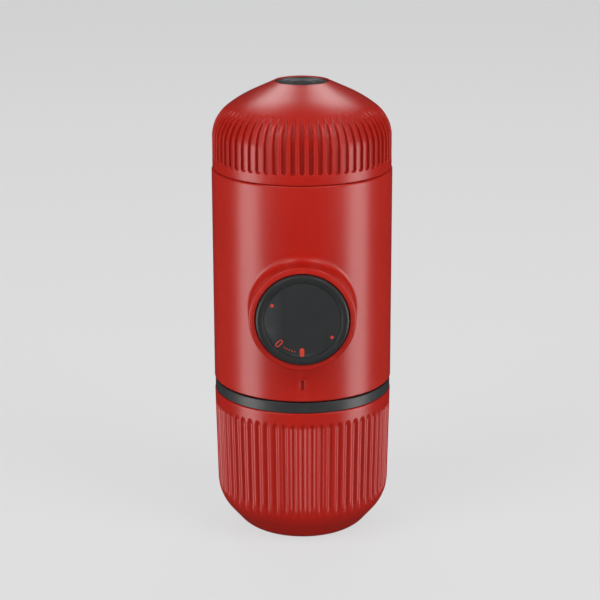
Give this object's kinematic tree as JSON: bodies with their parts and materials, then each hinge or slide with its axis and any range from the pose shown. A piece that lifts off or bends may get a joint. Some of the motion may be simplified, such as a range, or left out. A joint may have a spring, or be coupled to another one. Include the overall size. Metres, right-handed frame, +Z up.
{
  "type": "handheld manual espresso maker",
  "caption": "Upright capsule-shaped hand pump espresso maker with a push knob on its side, a fluted screw-on water tank above and a fluted drinking cup below.",
  "frame": {"origin": "centre of the flat foot of the drinking cup, on the axis of the body", "axes": "+Z up along the body, -Y out of the knob, +X to the right of someone facing the knob"},
  "size_m": [0.0614, 0.0707, 0.158],
  "materials": {
    "red_soft_touch": "soft-touch matt",
    "dark_plastic": "satin",
    "black_plastic": "moulded",
    "seal_rubber": "matt",
    "white_silicone": "matt",
    "polished_steel": "satin",
    "bright_steel": "polished",
    "brass": "machined"
  },
  "bodies": {
    "body": {"body_shell": "red_soft_touch", "tank_socket": "black_plastic", "inlet_strainer": "black_plastic", "inlet_seat": "brass", "inlet_spring": "polished_steel", "vent_valve": "seal_rubber", "collar_bush": "black_plastic", "pump_block": "black_plastic", "block_screws": "bright_steel", "lock_plate": "black_plastic", "cylinder_liner": "polished_steel", "gland_nut": "brass", "return_spring": "polished_steel", "outlet_spring": "polished_steel", "outlet_cage": "black_plastic", "brew_head": "black_plastic", "brew_seal": "white_silicone", "shower_screen": "polished_steel", "screen_screw": "bright_steel"},
    "tank_ring": {"tank_seal": "seal_rubber"},
    "tank": {"water_tank": "red_soft_touch", "tank_badge": "dark_plastic"},
    "suction_ball": {"inlet_ball": "bright_steel"},
    "delivery_ball": {"outlet_ball": "bright_steel"},
    "plunger": {"piston_rod": "polished_steel", "piston_ring": "seal_rubber", "spring_washer": "polished_steel", "knob_screw": "bright_steel"},
    "knob": {"piston_sleeve": "dark_plastic", "knob_face": "dark_plastic"},
    "basket": {"filter_basket": "polished_steel"},
    "head_ring": {"cup_seal": "seal_rubber"},
    "head": {"outlet_head": "dark_plastic", "outlet_nozzle": "black_plastic"},
    "measuring_scoop": {"scoop": "dark_plastic"},
    "drinking_cup": {"cup": "red_soft_touch"}
  },
  "joints": [
    {"name": "tank_lift", "type": "slide", "parent": "body", "child": "tank_ring", "axis": [0, 0, 1], "range_m": [0, 0.05]},
    {"name": "tank_turn", "type": "hinge", "parent": "tank_ring", "child": "tank", "pos_m": [0, 0, 0.1286], "axis": [0, 0, 1], "range_deg": [0, 360]},
    {"name": "suction_valve", "type": "slide", "parent": "body", "child": "suction_ball", "axis": [0, 0, -1], "range_m": [0, 0.0008], "stiffness_N_per_m": 30, "springref_m": -0.002, "deforming": ["inlet_spring"]},
    {"name": "delivery_valve", "type": "slide", "parent": "body", "child": "delivery_ball", "axis": [0, 0, -1], "range_m": [0, 0.0008], "stiffness_N_per_m": 30, "springref_m": -0.002, "deforming": ["outlet_spring"]},
    {"name": "pump_stroke", "type": "slide", "parent": "body", "child": "plunger", "axis": [0, -1, 0], "range_m": [0, 0.02], "deforming": ["return_spring"]},
    {"name": "knob_turn", "type": "hinge", "parent": "plunger", "child": "knob", "pos_m": [0, -0.02, 0.0858], "axis": [0, -1, 0], "range_deg": [0, 45]},
    {"name": "basket_drop", "type": "slide", "parent": "body", "child": "basket", "axis": [0, 0, -1], "range_m": [0, 0.03]},
    {"name": "head_drop", "type": "slide", "parent": "basket", "child": "head_ring", "axis": [0, 0, -1], "range_m": [0, 0.03]},
    {"name": "head_turn", "type": "hinge", "parent": "head_ring", "child": "head", "pos_m": [0, 0, 0.052], "axis": [0, 0, 1], "range_deg": [-360, 0]},
    {"name": "scoop_drop", "type": "slide", "parent": "head", "child": "measuring_scoop", "axis": [0, 0, -1], "range_m": [0, 0.03]},
    {"name": "cup_pull", "type": "slide", "parent": "measuring_scoop", "child": "drinking_cup", "axis": [0, 0, -1], "range_m": [0, 0.055]}
  ]
}
